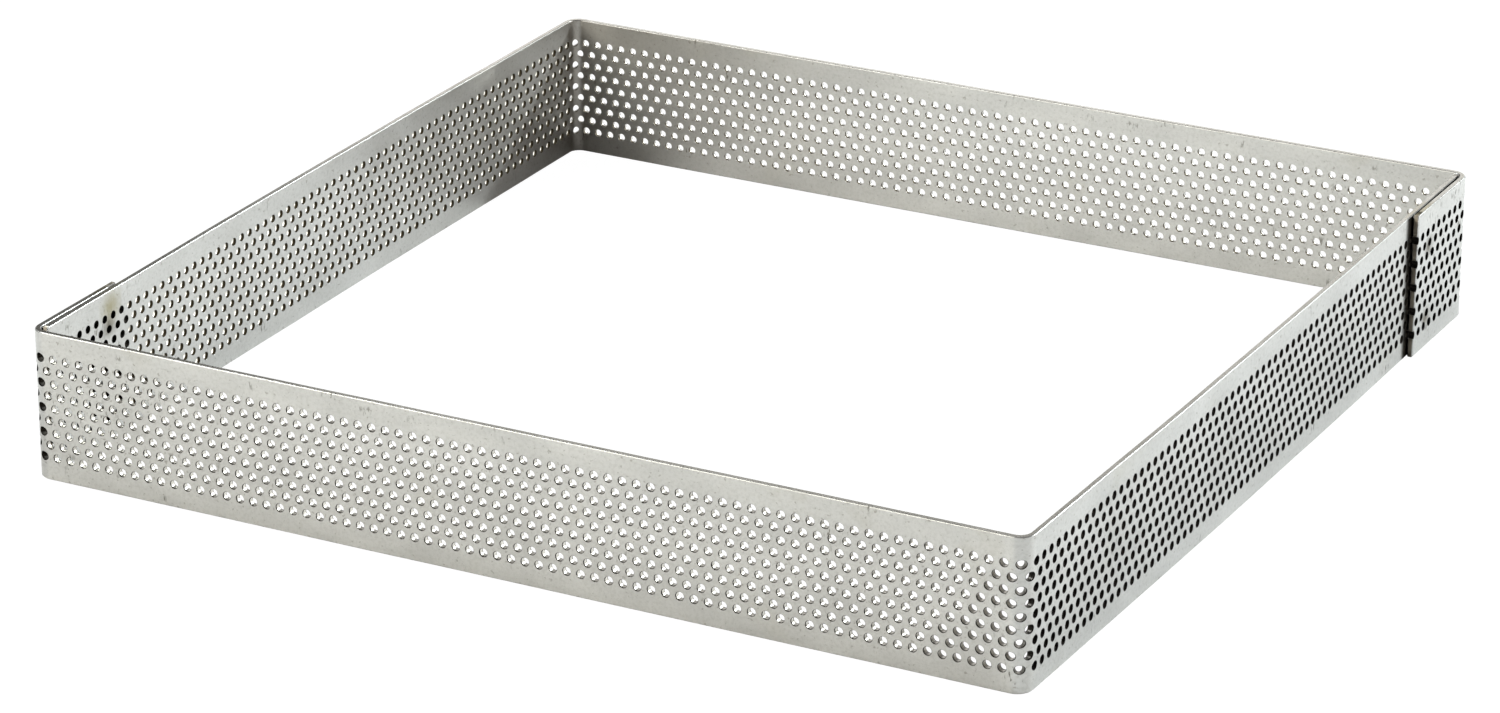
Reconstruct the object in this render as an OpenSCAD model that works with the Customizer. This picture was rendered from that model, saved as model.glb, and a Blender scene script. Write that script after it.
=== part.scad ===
// Square perforated cheese mold frame
//
// An open, bottomless ring of perforated stainless sheet. It is folded from
// two strips. Each strip starts as a short flap, bends into one wall, bends
// again into the next wall and ends inside the flap of the other strip. The
// two laps, at opposite corners, are held by two spot welds each.
//
// The centre of the footprint is the origin, the lower rim is at z = 0 and
// the front wall faces -Y. All lengths are in millimetres.

/* [Frame] */
// Side of the square over the outer faces of the four walls
frame_side = 200; // [120:1:300]
// Height of the walls
frame_height = 29.2; // [26:0.1:60]
// Thickness of the sheet
sheet_thickness = 1.2; // [0.8:0.1:1.6]
// Inner radius of the four bends
bend_inner_radius = 2; // [1.6:0.1:3]

/* [Perforation] */
// Diameter of the drain holes
hole_diameter = 1.6; // [1.2:0.1:1.8]
// Distance between neighbouring hole centres, in a triangular pattern
hole_pitch = 2.82; // [2.6:0.01:4]
// Number of horizontal rows of holes
hole_rows = 9; // [3:1:9]
// Height of the lowest row of hole centres above the lower rim
lowest_row_height = 4.6; // [2:0.1:6]
// First hole centre of the front and right strip, from its flap's cut end
front_right_first_hole = 1.89; // [-1:0.01:2.5]
// First hole centre of the back and left strip, from its flap's cut end
back_left_first_hole = -0.28; // [-1:0.01:2.5]

/* [Lapped corners] */
// Length of a flap, from its cut end to the outer face of the next wall
flap_length = 27.2; // [20:0.1:40]
// Gap between a flap and the wall inside it
lap_gap = 0.3; // [0.2:0.05:0.4]
// Gap between a wall's cut end and the wall that it meets
wall_end_gap = 1.2; // [1.2:0.1:3]

/* [Spot welds] */
// Diameter of a weld nugget
weld_diameter = 3.2; // [2:0.1:5]
// Depth of a nugget in each of the two sheets
weld_depth = 0.3; // [0.1:0.05:0.4]
// Distance of the welds from the cut end of the flap
weld_inset = 6.2; // [4:0.1:12]
// Height of the lower weld of a corner
lower_weld_height = 6.1; // [4:0.1:12]
// Height of the upper weld of a corner
upper_weld_height = 21; // [14:0.1:25]

/* [Hidden] */
$fn = 64;

steel_colour = [0.80, 0.80, 0.78];
weld_colour = [0.62, 0.56, 0.46];

// Faces and ends, as distances from the centre of the frame
half_side = frame_side / 2;
flap_inner_face = half_side + lap_gap;
flap_outer_face = flap_inner_face + sheet_thickness;
flap_end = half_side - flap_length;
wall_end = half_side - sheet_thickness - wall_end_gap;

// Bends: outer and middle radius, and the centres of the two in a strip
bend_outer_radius = bend_inner_radius + sheet_thickness;
bend_middle_radius = bend_inner_radius + sheet_thickness / 2;
first_bend_centre = [bend_outer_radius - flap_outer_face, bend_outer_radius - half_side];
second_bend_centre = [half_side - bend_outer_radius, bend_outer_radius - half_side];

// Distances along the middle of a strip, from the flap's cut end
bend_arc = bend_middle_radius * PI / 2;
first_bend_start = flap_length - bend_outer_radius;
first_bend_end = first_bend_start + bend_arc;
second_bend_start = first_bend_end + second_bend_centre.x - first_bend_centre.x;
second_bend_end = second_bend_start + bend_arc;
strip_length = second_bend_end + wall_end - second_bend_centre.y;

hole_radius = hole_diameter / 2;
row_spacing = hole_pitch * sin(60);
weld_heights = [lower_weld_height, upper_weld_height];
// Drills run this far past both faces of the sheet
overcut = 0.4;

front_right_strip();
back_left_strip();
front_left_spot_welds();
back_right_spot_welds();

// Strip with the front-left flap, the front wall and the right wall
module front_right_strip() {
    color(steel_colour)
        bent_strip(front_right_first_hole);
}

// Strip with the back-right flap, the back wall and the left wall
module back_left_strip() {
    color(steel_colour)
        rotate(180)
            bent_strip(back_left_first_hole);
}

// Two nuggets that join the front-left flap to the end of the left wall
module front_left_spot_welds() {
    color(weld_colour)
        weld_nuggets();
}

// Two nuggets that join the back-right flap to the end of the right wall
module back_right_spot_welds() {
    color(weld_colour)
        rotate(180)
            weld_nuggets();
}

// One perforated strip, drawn as the front and right one
module bent_strip(first_hole) {
    difference() {
        union() {
            perforated_flat(0, first_bend_start, first_hole);
            perforated_flat(first_bend_end, second_bend_start, first_hole);
            perforated_flat(second_bend_end, strip_length, first_hole);
            plain_bend(first_bend_centre, 180);
            plain_bend(second_bend_centre, 270);
        }
        bend_drills(first_bend_start, first_bend_end, first_hole);
        bend_drills(second_bend_start, second_bend_end, first_hole);
        weld_nuggets();
        rotate(180)
            weld_nuggets();
    }
}

// Flat stretch of a strip, with the holes that no bend reaches
module perforated_flat(start, end, first_hole) {
    drilled_from = start > 0 ? start + hole_radius : -hole_radius;
    drilled_to = end < strip_length ? end - hole_radius : end + hole_radius;
    along_strip(start)
        linear_extrude(sheet_thickness, center = true)
            difference() {
                square([end - start, frame_height]);
                for (row = [0:hole_rows - 1])
                    for (distance = holes_between(row, drilled_from, drilled_to, first_hole))
                        translate([distance - start, row_height(row)])
                            circle(hole_radius);
            }
}

// Quarter of a ring of sheet, from the given direction of its outward side
module plain_bend(centre, direction) {
    translate(centre)
        rotate(direction)
            rotate_extrude(angle = 90)
                translate([bend_inner_radius, 0])
                    square([sheet_thickness, frame_height]);
}

// Drills for the holes in a bend and on its two edges
module bend_drills(start, end, first_hole) {
    for (row = [0:hole_rows - 1])
        for (distance = holes_between(row, start - hole_radius, end + hole_radius, first_hole))
            along_strip(distance)
                translate([0, row_height(row)])
                    cylinder(h = sheet_thickness + 2 * overcut, r = hole_radius, center = true);
}

// Nuggets between the front-left flap and the wall inside it
module weld_nuggets() {
    for (height = weld_heights)
        translate([-half_side + weld_depth, -flap_end - weld_inset, height])
            rotate([0, -90, 0])
                cylinder(h = lap_gap + 2 * weld_depth, d = weld_diameter);
}

// Places its children on the middle of the sheet, at a distance from the
// flap's cut end: X runs on along the strip, Y points up and Z outwards
module along_strip(distance) {
    translate(middle_point(distance))
        rotate(heading(distance))
            rotate([90, 0, 0])
                children();
}

// Direction in which the strip runs, as an angle from +X
function heading(distance) =
    distance < first_bend_start ? -90 :
    distance < first_bend_end ? 90 * (distance - first_bend_end) / bend_arc :
    distance < second_bend_start ? 0 :
    distance < second_bend_end ? 90 * (distance - second_bend_start) / bend_arc :
    90;

// Point on the middle of the sheet, at a distance along the strip
function middle_point(distance) =
    distance < first_bend_start ?
        [sheet_thickness / 2 - flap_outer_face, -flap_end - distance] :
    distance < first_bend_end ?
        first_bend_centre + bend_middle_radius * outwards(heading(distance)) :
    distance < second_bend_start ?
        [first_bend_centre.x + distance - first_bend_end, sheet_thickness / 2 - half_side] :
    distance < second_bend_end ?
        second_bend_centre + bend_middle_radius * outwards(heading(distance)) :
        [half_side - sheet_thickness / 2, second_bend_centre.y + distance - second_bend_end];

// Unit vector out of the frame, where the strip runs at an angle
function outwards(angle) = [sin(angle), -cos(angle)];

// Hole centres of one row within a stretch of the strip
function holes_between(row, start, end, first_hole) = [
    for (distance = [first_hole + (row % 2) * hole_pitch / 2 : hole_pitch : end])
        if (distance > start) distance
];

// Height of a row of hole centres above the lower rim
function row_height(row) = lowest_row_height + row * row_spacing;
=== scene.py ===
"""Looks of a square perforated cheese mold frame: two folded stainless strips with spot-welded laps.

Each strip is drawn flat, with its holes, and then folded along its path. All lengths are in metres.
"""

import math

import bpy
import numpy as np
from mathutils import Euler, Matrix, Vector
from mathutils.geometry import delaunay_2d_cdt


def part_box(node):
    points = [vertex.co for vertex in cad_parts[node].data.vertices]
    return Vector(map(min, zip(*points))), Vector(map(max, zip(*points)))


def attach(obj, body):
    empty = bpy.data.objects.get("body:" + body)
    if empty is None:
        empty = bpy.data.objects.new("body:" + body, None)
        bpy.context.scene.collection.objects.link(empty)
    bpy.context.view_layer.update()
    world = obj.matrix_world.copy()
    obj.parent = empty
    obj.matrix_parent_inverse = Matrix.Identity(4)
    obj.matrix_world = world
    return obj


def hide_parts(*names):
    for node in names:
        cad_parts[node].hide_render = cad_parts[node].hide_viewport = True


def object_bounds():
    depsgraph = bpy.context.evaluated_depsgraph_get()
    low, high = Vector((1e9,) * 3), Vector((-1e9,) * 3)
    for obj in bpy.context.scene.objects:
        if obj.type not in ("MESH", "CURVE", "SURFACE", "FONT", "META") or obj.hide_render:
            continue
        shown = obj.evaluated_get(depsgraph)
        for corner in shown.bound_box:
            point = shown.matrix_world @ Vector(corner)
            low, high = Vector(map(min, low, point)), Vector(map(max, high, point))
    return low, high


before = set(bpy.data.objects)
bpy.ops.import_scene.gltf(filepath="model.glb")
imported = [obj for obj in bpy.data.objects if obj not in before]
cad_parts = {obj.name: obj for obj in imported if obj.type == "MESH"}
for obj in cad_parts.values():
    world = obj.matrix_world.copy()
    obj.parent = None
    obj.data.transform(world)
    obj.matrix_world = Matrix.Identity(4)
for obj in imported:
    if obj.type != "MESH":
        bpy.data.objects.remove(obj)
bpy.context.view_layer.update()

MM = 0.001

# The sheet and its folds
SHEET_THICKNESS = 1.2 * MM
BEND_INNER_RADIUS = 2.0 * MM
FLAP_LENGTH = 27.2 * MM
RIM_ROUNDING = 0.22 * MM
BEND_STEPS = 9

# The perforation, drawn flat
HOLE_DIAMETER = 1.6 * MM
HOLE_PITCH = 2.82 * MM
HOLE_ROWS = 9
HOLE_SIDES = 16
# The holes are punched from the outside, which rounds their edge there and leaves it sharp inside
OUTER_HOLE_ROUNDING = 0.09 * MM
INNER_HOLE_ROUNDING = 0.04 * MM
LOWEST_ROW_HEIGHT = 4.6 * MM
FIRST_HOLE = {"front_right_strip": 1.89 * MM, "back_left_strip": -0.28 * MM}

# Where the torn part of a hole ends and its dark lip begins, as shares of the thickness outwards
HOLE_ZONES = {"front_right_strip": (0.16, 0.82), "back_left_strip": (0.56, 0.82)}
# How far the punch has burnished the holes of a strip between those two places: 0 is dull, 1 is bright. The
# front strip's lower share is painted shade that dims its holes.
BURNISH_AND_SHADE = {"front_right_strip": 0.65, "back_left_strip": 1.0}
# How far the holes of a strip's second wall are painted black, as shade
HOLE_SHADE = {"front_right_strip": 1.0, "back_left_strip": 0.0}

# Corners that the mesh gets besides its holes: steps up a cut end, a row near each rim, rows in the bends
CUT_END_STEPS = 11
LOWER_ROW_INSET = 1.7 * MM
UPPER_ROW_INSET = 1.8 * MM
BEND_ROW_MARGIN = 0.4 * MM
BEND_ROW_SPACING = 0.65 * MM
# Points closer together than this become one
SAME_POINT = 1e-7
# The most that a sharp corner is drawn in, in roundings
LONGEST_MITER = 1.6

# Spot welds, measured from a flap's cut end and from the lower rim
WELD_INSET = 6.2 * MM
WELD_HEIGHTS = (6.1 * MM, 21.0 * MM)
WELD_DENT = 0.09 * MM
WELD_DENT_RADIUS = 2.4 * MM
SMUDGE_SIZE = 2.6 * MM
HALO_SIZE = 3.8 * MM
# Where a wall's smudge and halo lie from their weld, along and up
WALL_SMUDGE_SHIFT = (-1.3 * MM, 1.2 * MM)
HALO_SHIFT = (-2.2 * MM, 5.0 * MM)

# How far the middle of a strip's second wall stands out of true
WALL_BOW = 0.6 * MM
# Slight waves that rolling and folding leave in the sheet: height, length along and length up
WAVES = (
    (0.022 * MM, 71 * MM, 160 * MM),
    (0.014 * MM, 43 * MM, -90 * MM),
    (0.008 * MM, 23 * MM, 61 * MM),
)
# Length over which the waves fade out towards a bend or a cut end
WAVE_FADE = 20 * MM

# How much of the floor's shadows the viewer misses, as on a bright studio table
FLOOR_LIFT = 0.94
FLOOR_REACH = 6.0

# Camera: its azimuth turns from the front to the right, in degrees, and its lens is in millimetres
CAMERA_AZIMUTH = 27.65
CAMERA_ELEVATION = 22.25
CAMERA_ROLL = 0.08
CAMERA_DISTANCE = 1.0840
CAMERA_LENS = 139.05
CAMERA_TARGET = (0.0043, -0.0181, 0.0145)

# Material slots of a strip
SHEET, HOLE_WALL, CUT_EDGE = range(3)


class StripPath:
    """Middle line of a strip: a flap, a bend, a wall, a bend and a second wall.

    It runs as the front and right strip does. The other strip is turned into place later.
    """

    def __init__(self):
        low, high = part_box("front_right_strip")
        self.half_side = high.x
        self.height = high.z
        self.outer_radius = BEND_INNER_RADIUS + SHEET_THICKNESS
        self.middle_radius = BEND_INNER_RADIUS + SHEET_THICKNESS / 2
        self.flap_end = FLAP_LENGTH - self.half_side
        self.bend_y = self.outer_radius - self.half_side
        self.first_bend_x = low.x + self.outer_radius
        self.second_bend_x = self.half_side - self.outer_radius
        arc = self.middle_radius * math.pi / 2
        lengths = (
            self.flap_end - self.bend_y,
            arc,
            self.second_bend_x - self.first_bend_x,
            arc,
            high.y - self.bend_y,
        )
        self.starts = np.concatenate(([0], np.cumsum(lengths)))
        self.length = self.starts[-1]
        self.lap_start = self.starts[4] + self.half_side - FLAP_LENGTH - self.bend_y
        self.bends = ((self.starts[1], self.starts[2]), (self.starts[3], self.starts[4]))

    def heading(self, distance):
        """Direction of the strip at each distance, as an angle from +X."""
        turned = [np.clip((distance - start) / (end - start), 0, 1) for start, end in self.bends]
        return (turned[0] + turned[1] - 1) * math.pi / 2

    def middle(self, distance):
        """X and Y on the middle of the sheet, and the unit vector outwards, at each distance."""
        heading = self.heading(distance)
        outwards = np.stack([np.sin(heading), -np.cos(heading)], axis=-1)
        _, flap_end, front_start, front_end, wall_start, wall_end = self.starts
        on_flap = np.clip(distance, None, flap_end)
        on_front = np.clip(distance - front_start, 0, front_end - front_start)
        on_wall = np.clip(distance - wall_start, 0, None)
        centre_x = np.where(distance < front_start, self.first_bend_x, self.first_bend_x + on_front)
        centre_y = self.bend_y + on_wall + np.where(distance < flap_end, flap_end - on_flap, 0)
        along_wall = np.clip(on_wall / (wall_end - wall_start), 0, 1)
        reach = self.middle_radius + WALL_BOW * (1 - (2 * along_wall - 1) ** 2)
        middle = np.stack([centre_x, centre_y], axis=-1) + outwards * reach[..., None]
        return middle, outwards

    def weld_places(self):
        """Distance and height of the four welds that a strip takes part in."""
        lap_ends = (0, self.lap_start)
        return [(end + WELD_INSET, height) for end in lap_ends for height in WELD_HEIGHTS]

    def waves(self, flat):
        """Height of the waves at points of the flat strip, all inwards."""
        height = np.zeros(len(flat))
        for size, along, up in WAVES:
            height += size * (np.sin(2 * math.pi * (flat[:, 0] / along + flat[:, 1] / up)) - 1)
        return height

    def dents(self, flat):
        """Depth of the marks that the welding electrodes press into both faces."""
        depth = np.zeros(len(flat))
        for place in self.weld_places():
            away = np.linalg.norm(flat - np.array(place), axis=1) / WELD_DENT_RADIUS
            depth += WELD_DENT * np.exp(-(away**4))
        return depth

    def fold(self, flat, depth):
        """Points in space for points of the flat strip, at a depth outwards from its middle."""
        middle, outwards = self.middle(flat[:, 0])
        side = np.sign(depth)
        reach = depth + self.waves(flat) * self.wave_room(flat) - side * self.dents(flat)
        ground = middle + outwards * reach[:, None]
        return np.column_stack([ground, flat[:, 1]])

    def wave_room(self, flat):
        """Share of the waves that stays: none at bends and cut ends, so that the strip keeps its size."""
        nearest = np.min([np.abs(flat[:, 0] - start) for start in self.starts], axis=0)
        return np.clip(nearest / WAVE_FADE, 0, 1)

    def frame_at(self, flat, depth):
        """Unit vectors along, up and outwards on the folded surface."""
        step = 0.05 * MM
        along_step, up_step = np.array([step, 0]), np.array([0, step])
        along = self.fold(flat + along_step, depth) - self.fold(flat - along_step, depth)
        up = self.fold(flat + up_step, depth) - self.fold(flat - up_step, depth)
        outwards = np.cross(along, up)
        return [way / np.linalg.norm(way, axis=1)[:, None] for way in (along, up, outwards)]


def circle(centre, radius, sides):
    """Corners of a regular polygon."""
    turns = [2 * math.pi * (i + 0.5) / sides for i in range(sides)]
    return [Vector((centre[0] + radius * math.cos(t), centre[1] + radius * math.sin(t))) for t in turns]


def hole_centres(path, first_hole):
    """Hole centres on the flat strip, row by row, with those that its cut ends pass through."""
    centres = []
    for row in range(HOLE_ROWS):
        height = LOWEST_ROW_HEIGHT + row * HOLE_PITCH * math.sin(math.pi / 3)
        start = first_hole + (row % 2) * HOLE_PITCH / 2
        count = int((path.length + HOLE_DIAMETER - start) / HOLE_PITCH) + 1
        centres += [(start + column * HOLE_PITCH, height) for column in range(count)]
    return centres


def stations(path):
    """Distances along the strip at which it gets corners, closer together in the bends."""
    plain = np.arange(HOLE_PITCH, path.length - HOLE_PITCH / 2, HOLE_PITCH)
    for bend in path.bends:
        plain = plain[(plain < bend[0] - MM) | (plain > bend[1] + MM)]
    folded = [np.linspace(*bend, BEND_STEPS + 1) for bend in path.bends]
    return np.sort(np.concatenate([[0, path.length], plain, *folded]))


def outline(path):
    """Corners round the flat strip."""
    along = stations(path)
    up = np.linspace(0, path.height, CUT_END_STEPS + 1)[1:-1]
    corners = [(place, 0) for place in along] + [(along[-1], place) for place in up]
    corners += [(place, path.height) for place in along[::-1]] + [(0, place) for place in up[::-1]]
    return [Vector(corner) for corner in corners]


def filler_points(path, centres):
    """Points between the holes, closer together in the bends, that let the sheet curve evenly."""
    bands = (LOWER_ROW_INSET, path.height - UPPER_ROW_INSET)
    points = [(along, up) for along in stations(path)[1:-1] for up in bands]
    bend_rows = np.arange(BEND_ROW_MARGIN, path.height - BEND_ROW_MARGIN, BEND_ROW_SPACING)
    for bend in path.bends:
        for along in np.linspace(*bend, BEND_STEPS + 1):
            points += [(along, up) for up in bend_rows]
    points = np.array(points)
    clear = HOLE_DIAMETER / 2 + 3 * OUTER_HOLE_ROUNDING
    holes = np.array(centres)
    away = np.array([np.min(np.hypot(*(holes - point).T)) for point in points])
    return [Vector(point) for point in points[away > clear]]


def flat_pattern(path, first_hole):
    """Corners and triangles of the flat strip without its holes."""
    centres = hole_centres(path, first_hole)
    rings = [circle(centre, HOLE_DIAMETER / 2, HOLE_SIDES) for centre in centres]
    corners, faces = [], []
    for ring in [outline(path), *rings]:
        faces.append(list(range(len(corners), len(corners) + len(ring))))
        corners += ring
    corners += filler_points(path, centres)
    inside_only = 1
    made = delaunay_2d_cdt(corners, [], faces, inside_only, SAME_POINT)
    triangles = [tri for tri, sources in zip(made[2], made[5]) if list(sources) == [0]]
    used = sorted({corner for tri in triangles for corner in tri})
    place = {corner: i for i, corner in enumerate(used)}
    flat = np.array([made[0][corner] for corner in used])
    return flat, [[place[corner] for corner in tri] for tri in triangles]


def open_edges(triangles):
    """Edges with one triangle, each running with the sheet on its left."""
    edges = {(tri[i - 1], tri[i]) for tri in triangles for i in range(3)}
    return [(a, b) for a, b in edges if (b, a) not in edges]


def edge_directions(flat, edges):
    """For each corner on an edge, the way out of the sheet, longer at a sharp corner."""
    total = np.zeros_like(flat)
    for a, b in edges:
        run = flat[b] - flat[a]
        way_out = np.array([run[1], -run[0]]) / np.linalg.norm(run)
        total[a] += way_out
        total[b] += way_out
    size = np.linalg.norm(total, axis=1)
    size[size == 0] = 1
    miter = np.clip(2 / size, None, LONGEST_MITER)
    return total / size[:, None], miter


def sheet_points(path, flat, edges, rim, on_rim):
    """Corners of the outer face, outer wall, inner face and inner wall in turn.

    Each comes as its points in space, normals, places on the flat strip and depths.
    """
    way_out, miter = [values[rim] for values in edge_directions(flat, edges)]
    half = SHEET_THICKNESS / 2
    parts = []
    for side, hole_rounding in ((1, OUTER_HOLE_ROUNDING), (-1, INNER_HOLE_ROUNDING)):
        rounding = np.where(on_rim, RIM_ROUNDING, hole_rounding)
        face, face_depths = flat.copy(), np.full(len(flat), side * half)
        face[rim] -= way_out * (rounding * miter)[:, None]
        outwards = path.frame_at(face, face_depths)[2]
        parts.append((path.fold(face, face_depths), outwards * side, face, face_depths))
        wall, wall_depths = flat[rim], side * (half - rounding)
        along, up, _ = path.frame_at(wall, wall_depths)
        wall_normals = along * way_out[:, :1] + up * way_out[:, 1:]
        parts.append((path.fold(wall, wall_depths), wall_normals, wall, wall_depths))
    return parts


def sheet_faces(triangles, edges, rim, on_rim, first_corners):
    """Faces of a folded strip and their material slots: both sides, then the rounded edges between them."""
    outer, outer_wall, inner, inner_wall = first_corners
    faces = [[outer + corner for corner in tri] for tri in triangles]
    faces += [[inner + corner for corner in reversed(tri)] for tri in triangles]
    slots = [SHEET] * len(faces)
    place = {corner: i for i, corner in enumerate(rim)}
    for a, b in edges:
        wall_a, wall_b = place[a], place[b]
        on_cut = on_rim[wall_a] and on_rim[wall_b]
        outer_slot, wall_slot = (SHEET, CUT_EDGE) if on_cut else (HOLE_WALL, HOLE_WALL)
        faces += [
            [outer + b, outer + a, outer_wall + wall_a, outer_wall + wall_b],
            [outer_wall + wall_b, outer_wall + wall_a, inner_wall + wall_a, inner_wall + wall_b],
            [inner_wall + wall_b, inner_wall + wall_a, inner + a, inner + b],
        ]
        slots += [outer_slot, wall_slot, SHEET]
    return faces, slots


def sheet_mesh(name, path, first_hole):
    """Mesh of a folded strip: two faces, hole walls and cut edges, with rounded rims."""
    flat, triangles = flat_pattern(path, first_hole)
    edges = sorted(open_edges(triangles))
    rim = sorted({corner for edge in edges for corner in edge})
    on_rim = distance_to_rim(path, flat[rim]) < RIM_ROUNDING / 2
    parts = sheet_points(path, flat, edges, rim, on_rim)
    first_corners = np.cumsum([0] + [len(part[0]) for part in parts])[:4]
    faces, slots = sheet_faces(triangles, edges, rim, on_rim, first_corners)
    points, normals, spots, depths = [np.concatenate(values) for values in zip(*parts)]
    mesh = bpy.data.meshes.new(name)
    mesh.from_pydata(points.tolist(), [], faces)
    mesh.polygons.foreach_set("material_index", slots)
    mesh.polygons.foreach_set("use_smooth", [True] * len(faces))
    corner_vertices = np.zeros(len(mesh.loops), int)
    mesh.loops.foreach_get("vertex_index", corner_vertices)
    mesh.uv_layers.new(name="sheet").data.foreach_set("uv", spots[corner_vertices].ravel())
    outward = mesh.attributes.new("outward", "FLOAT", "POINT")
    outward.data.foreach_set("value", depths / SHEET_THICKNESS + 0.5)
    mesh.normals_split_custom_set_from_vertices(normals.tolist())
    mesh.update()
    return mesh


def distance_to_rim(path, spots):
    """How far points of the flat strip are from its nearest edge."""
    along, up = spots.T
    return np.min([along, path.length - along, up, path.height - up], axis=0)


class NodeTree:
    """Short way to write a material's nodes."""

    def __init__(self, name):
        self.material = bpy.data.materials.new(name)
        self.material.use_nodes = True
        self.tree = self.material.node_tree
        self.shader = self.tree.nodes["Principled BSDF"]

    def add(self, kind, inputs=None, **settings):
        """Makes a node with its settings, and sets or links its inputs."""
        node = self.tree.nodes.new("ShaderNode" + kind)
        for key, value in settings.items():
            setattr(node, key, value)
        self.feed(node, inputs or {})
        return node

    def feed(self, node, inputs):
        """Sets or links a node's inputs by name or number."""
        for key, value in inputs.items():
            if isinstance(value, bpy.types.NodeSocket):
                self.tree.links.new(value, node.inputs[key])
            else:
                node.inputs[key].default_value = value

    def math(self, operation, a, b=0.0):
        """Result of a calculation with one or two values."""
        return self.add("Math", {0: a, 1: b}, operation=operation).outputs[0]

    def scaled(self, vector, scale, rotation=(0, 0, 0)):
        """A place turned and scaled, which stretches the pattern that is read there."""
        return self.add("Mapping", {"Vector": vector, "Scale": scale, "Rotation": rotation}).outputs[0]

    def noise(self, vector, scale, detail=3.0, roughness=0.5):
        """Cloudy pattern between 0 and 1."""
        inputs = {"Vector": vector, "Scale": scale, "Detail": detail, "Roughness": roughness}
        return self.add("TexNoise", inputs).outputs["Fac"]

    def ramp(self, value, low, high, to_low=0.0, to_high=1.0):
        """Runs from to_low, where the value is low or less, to to_high, where it is high or more."""
        inputs = {"Value": value, 1: low, 2: high, 3: to_low, 4: to_high}
        return self.add("MapRange", inputs).outputs[0]

    def mix(self, factor, a, b):
        """Colour between a, at factor 0, and b, at factor 1."""
        node = self.add("Mix", data_type="RGBA")
        self.feed(node, {0: factor, 6: a, 7: b})
        return node.outputs[2]

    def bump(self, height, strength, distance, normal=None):
        """Normal of a surface with a height, on top of another normal if there is one."""
        inputs = {"Height": height, "Strength": strength, "Distance": distance}
        if normal is not None:
            inputs["Normal"] = normal
        return self.add("Bump", inputs).outputs[0]


def stainless_sheet(path):
    """Satin stainless with a fine rolling grain along the strip, scratches and stains, and painted shade in
    its inner corners and on the hidden faces of the laps.
    """
    n = NodeTree("stainless_sheet")
    flat = n.add("UVMap", uv_map="sheet").outputs[0]
    grain = n.noise(n.scaled(flat, (90, 2600, 1)), 1.0, detail=4, roughness=0.6)
    mottle = n.noise(n.scaled(flat, (60, 110, 1)), 1.0, detail=5, roughness=0.6)
    stain = n.ramp(n.noise(flat, 48.0, detail=6, roughness=0.62), 0.58, 0.72)
    pits = n.ramp(n.noise(flat, 1400.0, detail=3, roughness=0.7), 0.45, 0.65, 0.0, 0.27)
    speck = n.ramp(n.noise(flat, 1100.0, detail=2), 0.65, 0.70)
    scuff = scuffs(n, flat, path)
    scratch = scratches(n, flat)
    smudge, halo = weld_marks(n, flat, path)
    dirt_and_shade = lap_shade(n, flat, path)
    clean = n.mix(n.ramp(mottle, 0.3, 0.7), (0.495, 0.485, 0.46, 1), (0.56, 0.55, 0.525, 1))
    stained = n.mix(n.math("MULTIPLY", stain, 0.4), clean, (0.36, 0.34, 0.29, 1))
    pitted = n.mix(pits, stained, (0.30, 0.29, 0.26, 1))
    specked = n.mix(n.math("MULTIPLY", speck, 0.45), pitted, (0.17, 0.15, 0.12, 1))
    scored = n.mix(n.math("MULTIPLY", scratch, 0.25), specked, (0.25, 0.25, 0.24, 1))
    tinted = n.mix(halo, scored, (0.27, 0.235, 0.12, 1))
    scuffed = n.mix(scuff, tinted, (0.11, 0.10, 0.08, 1))
    # The inner corners get a brown film and painted shade.
    corner_shaded = n.mix(corner_shade_and_film(n, flat, path), scuffed, (0.17, 0.135, 0.10, 1))
    smudged = n.mix(smudge, corner_shaded, (0.075, 0.060, 0.036, 1))
    # The hidden faces of the laps are painted near black as shade, fading out as a painted contact shadow.
    colour = n.mix(dirt_and_shade, smudged, (0.030, 0.026, 0.020, 1))
    roughness = n.math("ADD", n.ramp(mottle, 0.3, 0.7, 0.34, 0.42), n.math("MULTIPLY", stain, 0.12))
    roughness = n.math("ADD", roughness, n.math("MULTIPLY", smudge, 0.2))
    normal = n.bump(grain, 0.25, 0.00001)
    normal = n.bump(scratch, 0.4, 0.00002, normal)
    tangent = n.add("Tangent", direction_type="UV_MAP", uv_map="sheet").outputs[0]
    n.feed(n.shader, {"Base Color": colour, "Metallic": 1.0, "Roughness": roughness, "Normal": normal})
    n.feed(n.shader, {"Anisotropic": 0.6, "Anisotropic Rotation": 0.25, "Tangent": tangent})
    return n.material


def scratches(n, flat):
    """Sparse fine scratches in three directions, in patches."""
    scratch = 0.0
    for turn, scale in ((0.5, (70, 3600, 1)), (-0.9, (90, 4200, 1)), (1.4, (60, 3000, 1))):
        lines = n.noise(n.scaled(flat, scale, (0, 0, turn)), 1.0, detail=2)
        patches = n.noise(n.scaled(flat, (1, 1, 1), (0, 0, turn)), 70.0, detail=1)
        sparse = n.math("MULTIPLY", n.ramp(lines, 0.70, 0.74), n.ramp(patches, 0.5, 0.6))
        scratch = n.math("MAXIMUM", scratch, sparse)
    return scratch


def scuffs(n, flat, path):
    """Short dark rub marks up the sheet, mostly near the laps."""
    streaks = n.ramp(n.noise(n.scaled(flat, (1500, 420, 1)), 1.0, detail=3, roughness=0.6), 0.57, 0.62)
    along = n.add("SeparateXYZ", {0: flat}).outputs[0]
    patches = n.noise(flat, 160.0, detail=2)
    near_start = n.ramp(along, 0.0, 2.2 * FLAP_LENGTH, 0.14, 0.0)
    near_end = n.ramp(along, path.length - 2.2 * FLAP_LENGTH, path.length, 0.0, 0.14)
    likely = n.math("ADD", patches, n.math("MAXIMUM", near_start, near_end))
    return n.math("MULTIPLY", streaks, n.ramp(likely, 0.62, 0.72, 0.0, 0.80))


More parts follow.
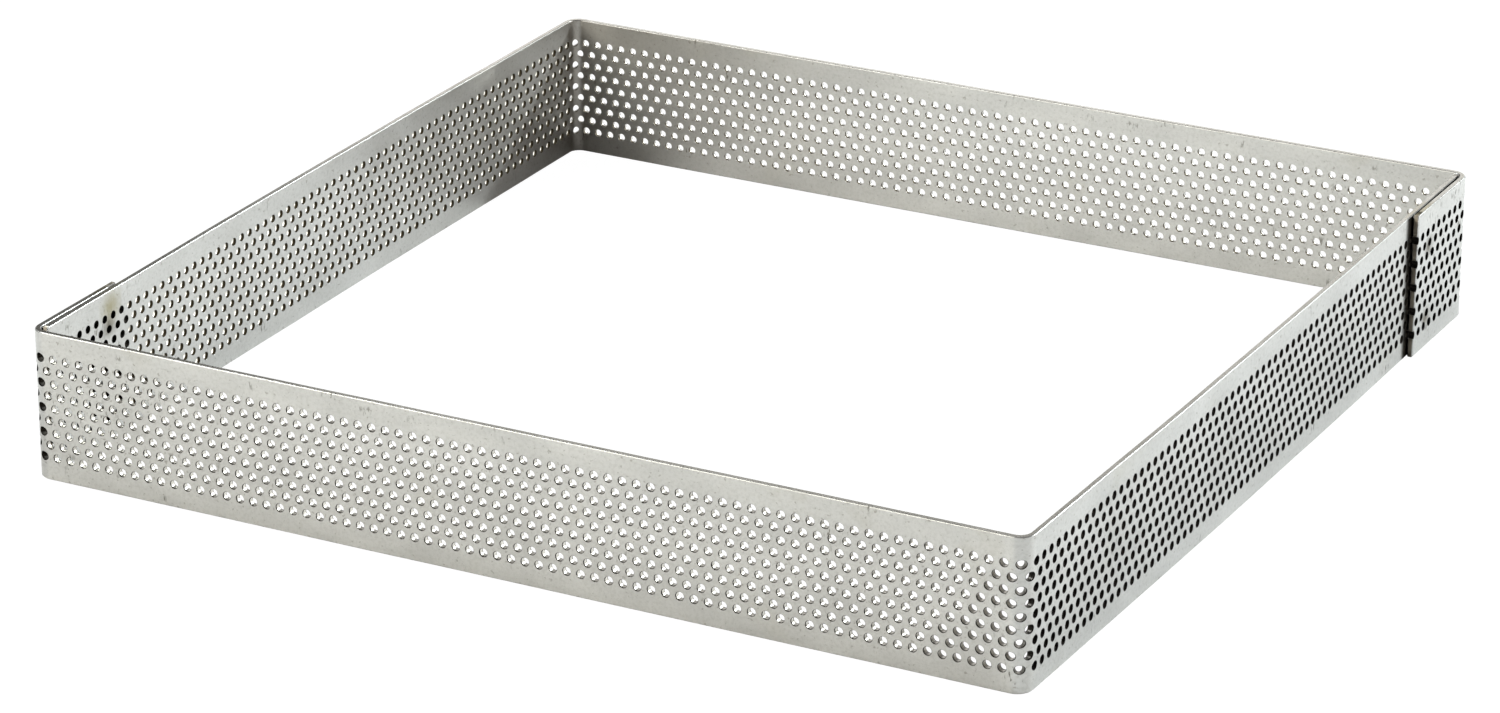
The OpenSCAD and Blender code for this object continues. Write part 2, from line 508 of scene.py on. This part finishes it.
def corner_shade_and_film(n, flat, path):
    """Brown film and painted shade in the inner corner of a strip's second bend, thinning out over both
    walls.
    """
    along = n.add("SeparateXYZ", {0: flat}).outputs[0]
    outward = n.add("Attribute", attribute_name="outward").outputs["Fac"]
    middle = sum(path.bends[1]) / 2
    away = n.math("ABSOLUTE", n.math("SUBTRACT", along, middle))
    uneven = n.math("MULTIPLY", n.noise(flat, 180.0, detail=4), 6 * MM)
    thick = n.ramp(n.math("ADD", away, uneven), 3 * MM, 18 * MM, 0.50, 0.0)
    thin = n.ramp(away, 15 * MM, 95 * MM, 0.30, 0.0)
    film_and_shade = n.math("MAXIMUM", thick, thin)
    return n.math("MULTIPLY", film_and_shade, n.ramp(outward, 0.2, 0.5, 1.0, 0.0))


def spot(n, flat, centre, ragged, size):
    """1 round a place on the flat strip, fading to 0, with a ragged edge about a size away."""
    away = n.add("VectorMath", {0: flat, 1: (*centre, 0)}, operation="DISTANCE").outputs["Value"]
    ragged_away = n.math("ADD", away, n.math("MULTIPLY", ragged, size))
    return n.ramp(ragged_away, 0.6 * size, 1.6 * size, 1.0, 0.0)


def weld_marks(n, flat, path):
    """Where the welds left dark smudges, and where a wall's upper weld left a halo on its inside."""
    ragged = n.noise(n.scaled(flat, (520, 260, 1)), 1.0, detail=5, roughness=0.65)
    inside = n.ramp(n.add("Attribute", attribute_name="outward").outputs["Fac"], 0.3, 0.6, 0.8, 0.0)
    smudge, halo = 0.0, 0.0
    for along, up in path.weld_places():
        on_wall = along > FLAP_LENGTH
        shift = WALL_SMUDGE_SHIFT if on_wall else (0, 0)
        centre = (along + shift[0], up + shift[1])
        smudge = n.math("MAXIMUM", smudge, spot(n, flat, centre, ragged, SMUDGE_SIZE))
        if up == WELD_HEIGHTS[1] and on_wall:
            above = (along + HALO_SHIFT[0], up + HALO_SHIFT[1])
            halo = n.math("MAXIMUM", halo, spot(n, flat, above, ragged, HALO_SIZE))
    return n.math("MULTIPLY", smudge, 0.85), n.math("MULTIPLY", halo, inside)


def lap_shade(n, flat, path, both_sides=False):
    """Painted shade: 1 on the hidden faces of a lap, fading out as a painted contact shadow just beyond it,
    but not on the flap's upper rim.

    With both sides, it is 1 through the whole thickness of the lap, rims and all.
    """
    along, up = n.add("SeparateXYZ", {0: flat}).outputs[:2]
    outward = n.add("Attribute", attribute_name="outward").outputs["Fac"]
    bend_end = path.bends[0][1]
    under_flap = n.ramp(along, bend_end - 1.5 * MM, bend_end - 0.5 * MM, 1.0, 0.0)
    wall_end = n.ramp(along, path.lap_start - 3.4 * MM, path.lap_start - 1.9 * MM)
    if both_sides:
        return n.math("MAXIMUM", under_flap, wall_end)
    below_rim = n.ramp(up, path.height - 0.6 * MM, path.height - 0.3 * MM, 1.0, 0.0)
    inside = n.math("MULTIPLY", n.ramp(outward, 0.0, 0.4, 1.0, 0.0), below_rim)
    on_flap = n.math("MULTIPLY", under_flap, inside)
    on_wall = n.math("MULTIPLY", wall_end, n.ramp(outward, 0.6, 1.0))
    return n.math("MAXIMUM", on_flap, on_wall)


def hole_wall(path, node):
    """Inside of a strip's punched holes: a dark lip at the outer face, a burnished band, then torn metal.

    The laps' holes are painted near black as shade. The second wall's torn metal is painted darker as shade,
    and its holes are painted as black as the table for them says, as shade too.
    """
    n = NodeTree(node + "_hole_wall")
    torn_end, lip_start = HOLE_ZONES[node]
    flat = n.add("UVMap", uv_map="sheet").outputs[0]
    place = n.add("TexCoord").outputs["Object"]
    outward = n.add("Attribute", attribute_name="outward").outputs["Fac"]
    torn = n.noise(place, 3000.0, detail=3, roughness=0.6)
    ragged = n.noise(place, 400.0, detail=4, roughness=0.6)
    break_line = n.math("ADD", outward, n.ramp(ragged, 0.3, 0.7, -0.10, 0.10))
    burnished = n.ramp(break_line, torn_end - 0.05, torn_end + 0.05)
    lip = n.ramp(break_line, lip_start - 0.04, lip_start + 0.04)
    along = n.add("SeparateXYZ", {0: flat}).outputs[0]
    second_wall = n.ramp(along, path.bends[1][0], path.bends[1][1])
    # Painted shade: the second wall's holes are blackened and their torn metal is darkened.
    painted_black = n.math("MULTIPLY", second_wall, HOLE_SHADE[node])
    torn_with_shade = n.mix(second_wall, (0.12, 0.10, 0.075, 1), (0.06, 0.048, 0.03, 1))
    # A share below 1 dims a strip's burnished band as painted shade.
    bright = n.mix(BURNISH_AND_SHADE[node], (0.27, 0.23, 0.17, 1), (0.86, 0.83, 0.77, 1))
    punched = n.mix(burnished, torn_with_shade, bright)
    lipped = n.mix(lip, punched, (0.035, 0.031, 0.027, 1))
    hole_shaded = n.mix(painted_black, lipped, (0.018, 0.015, 0.013, 1))
    # The laps' holes are painted near black as shade.
    colour = n.mix(lap_shade(n, flat, path, both_sides=True), hole_shaded, (0.025, 0.022, 0.018, 1))
    roughness = n.ramp(burnished, 0.0, 1.0, 0.60, 0.38)
    normal = n.bump(torn, 0.4, 0.00003)
    n.feed(n.shader, {"Base Color": colour, "Metallic": 1.0, "Roughness": roughness, "Normal": normal})
    return n.material


def cut_edge(path):
    """Sheared edge: duller than the sheet, with fine marks, brown at the cut ends and straw at the welds."""
    n = NodeTree("cut_edge")
    place = n.add("TexCoord").outputs["Object"]
    flat = n.add("UVMap", uv_map="sheet").outputs[0]
    along = n.add("SeparateXYZ", {0: flat}).outputs[0]
    marks = n.noise(n.scaled(place, (2600, 2600, 400)), 1.0, detail=3)
    dirt_and_shade = n.noise(place, 90.0, detail=4, roughness=0.6)
    clean = n.mix(n.ramp(dirt_and_shade, 0.35, 0.65), (0.36, 0.345, 0.30, 1), (0.48, 0.465, 0.42, 1))
    at_start = n.ramp(along, 0.2 * MM, 0.8 * MM, 1.0, 0.0)
    at_end = n.ramp(along, path.length - 0.8 * MM, path.length - 0.2 * MM)
    at_ends = n.math("MAXIMUM", at_start, at_end)
    from_weld = n.math("ABSOLUTE", n.math("SUBTRACT", along, path.lap_start + WELD_INSET / 2))
    at_flap_weld = n.ramp(along, WELD_INSET, 1.5 * WELD_INSET, 0.70, 0.0)
    at_wall_weld = n.ramp(from_weld, WELD_INSET / 2, WELD_INSET, 0.35, 0.0)
    heated = n.math("MAXIMUM", at_flap_weld, at_wall_weld)
    tinted = n.mix(heated, clean, (0.30, 0.26, 0.15, 1))
    colour = n.mix(at_ends, tinted, (0.27, 0.235, 0.185, 1))
    roughness = n.math("ADD", n.ramp(marks, 0.3, 0.7, 0.20, 0.32), n.math("MULTIPLY", at_ends, 0.25))
    normal = n.bump(marks, 0.4, 0.00002)
    n.feed(n.shader, {"Base Color": colour, "Metallic": 1.0, "Roughness": roughness, "Normal": normal})
    return n.material


def weld_metal():
    """Fused metal of a spot weld, dark and heat-tinted."""
    n = NodeTree("weld_metal")
    place = n.add("TexCoord").outputs["Object"]
    clots = n.noise(place, 900.0, detail=4, roughness=0.6)
    colour = n.mix(n.ramp(clots, 0.3, 0.7), (0.10, 0.08, 0.06, 1), (0.32, 0.25, 0.16, 1))
    roughness = n.ramp(clots, 0.3, 0.7, 0.4, 0.65)
    normal = n.bump(clots, 0.6, 0.00005)
    n.feed(n.shader, {"Base Color": colour, "Metallic": 1.0, "Roughness": roughness, "Normal": normal})
    return n.material


def make_strip(path, node, turn, materials):
    """The visible strip that stands for a CAD strip, turned round the frame's centre."""
    mesh = sheet_mesh(node + "_sheet", path, FIRST_HOLE[node])
    mesh.transform(Matrix.Rotation(turn, 4, "Z"))
    for material in materials:
        mesh.materials.append(material)
    strip = bpy.data.objects.new(node + "_sheet", mesh)
    bpy.context.scene.collection.objects.link(strip)
    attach(strip, "root")
    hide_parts(node)


def make_strips():
    """Both strips, which share the metal of their faces and cut edges."""
    path = StripPath()
    sheet, edge = stainless_sheet(path), cut_edge(path)
    for node, turn in (("front_right_strip", 0), ("back_left_strip", math.pi)):
        make_strip(path, node, turn, (sheet, hole_wall(path, node), edge))


def finish_welds():
    """Gives the welds of both laps their metal."""
    metal = weld_metal()
    for node in ("front_left_spot_welds", "back_right_spot_welds"):
        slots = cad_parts[node].data.materials
        slots.clear()
        slots.append(metal)


def make_floor():
    """Wide white table that the frame stands on, with its shadows lightened for the viewer."""
    mesh = bpy.data.meshes.new("floor")
    corners = [(x * FLOOR_REACH, y * FLOOR_REACH, 0) for x, y in ((-1, -1), (1, -1), (1, 1), (-1, 1))]
    mesh.from_pydata(corners, [], [(0, 1, 2, 3)])
    n = NodeTree("floor")
    n.feed(n.shader, {"Base Color": (0.92, 0.92, 0.92, 1), "Roughness": 0.9, "Specular IOR Level": 0.2})
    seen = n.add("LightPath").outputs["Is Camera Ray"]
    glow = n.add("Emission", {"Color": (1, 1, 1, 1), "Strength": 1.05}).outputs[0]
    lift = n.math("MULTIPLY", seen, FLOOR_LIFT)
    lifted = n.add("MixShader", {0: lift, 1: n.shader.outputs[0], 2: glow})
    n.tree.links.new(lifted.outputs[0], n.tree.nodes["Material Output"].inputs["Surface"])
    mesh.materials.append(n.material)
    floor = bpy.data.objects.new("floor", mesh)
    floor.location.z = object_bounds()[0].z
    bpy.context.scene.collection.objects.link(floor)


def direction(azimuth, elevation):
    """Unit vector at an elevation and an azimuth, which turns from +Y towards +X, in degrees."""
    turn, rise = math.radians(azimuth), math.radians(elevation)
    return Vector((math.sin(turn) * math.cos(rise), math.cos(turn) * math.cos(rise), math.sin(rise)))


def add_softbox(name, azimuth, elevation, distance, size, power, colour=(1, 1, 1), height=None):
    """Area light that faces the frame, square unless it has a height of its own."""
    light = bpy.data.lights.new(name, "AREA")
    light.shape = "RECTANGLE"
    light.size = size
    light.size_y = height or size
    light.energy = power
    light.color = colour
    lamp = bpy.data.objects.new(name, light)
    way = direction(azimuth, elevation)
    lamp.location = way * distance
    lamp.rotation_euler = (-way).to_track_quat("-Z", "Y").to_euler()
    bpy.context.scene.collection.objects.link(lamp)


def light_studio():
    """A small key light from the back right, softboxes all round and a faint glow from everywhere."""
    world = bpy.data.worlds.new("studio")
    world.use_nodes = True
    glow = world.node_tree.nodes["Background"].inputs
    glow["Color"].default_value = (1, 1, 1, 1)
    glow["Strength"].default_value = 0.2
    bpy.context.scene.world = world
    add_softbox("key", 33.8, 31.6, 2.0, 0.12, 35, (0.89, 0.97, 1.0))
    add_softbox("right_side", 60, 22, 1.6, 0.7, 10, (0.96, 0.98, 1.0))
    add_softbox("left_side", 262, 50, 1.6, 0.6, 13.5, (0.94, 0.98, 1.0))
    add_softbox("front_fill", 207, 24, 1.6, 0.8, 12.5, (1.0, 0.99, 0.90))
    add_softbox("overhead", 0, 85, 1.5, 1.2, 2)
    add_softbox("backdrop", 341, 13, 1.6, 0.9, 3.0, height=0.62)


def make_camera():
    """Camera to the front right of the frame, looking down on it."""
    back = direction(180 - CAMERA_AZIMUTH, CAMERA_ELEVATION)
    data = bpy.data.cameras.new("camera")
    data.lens = CAMERA_LENS
    data.clip_start, data.clip_end = 0.01, 20
    camera = bpy.data.objects.new("camera", data)
    aim = (-back).to_track_quat("-Z", "Y").to_matrix()
    roll = Euler((0, 0, math.radians(CAMERA_ROLL))).to_matrix()
    place = Matrix.Translation(Vector(CAMERA_TARGET) + back * CAMERA_DISTANCE)
    camera.matrix_world = place @ (aim @ roll).to_4x4()
    bpy.context.scene.collection.objects.link(camera)
    bpy.context.scene.camera = camera


make_strips()
finish_welds()
make_floor()
light_studio()
make_camera()
bpy.context.scene.view_settings.view_transform = "Standard"
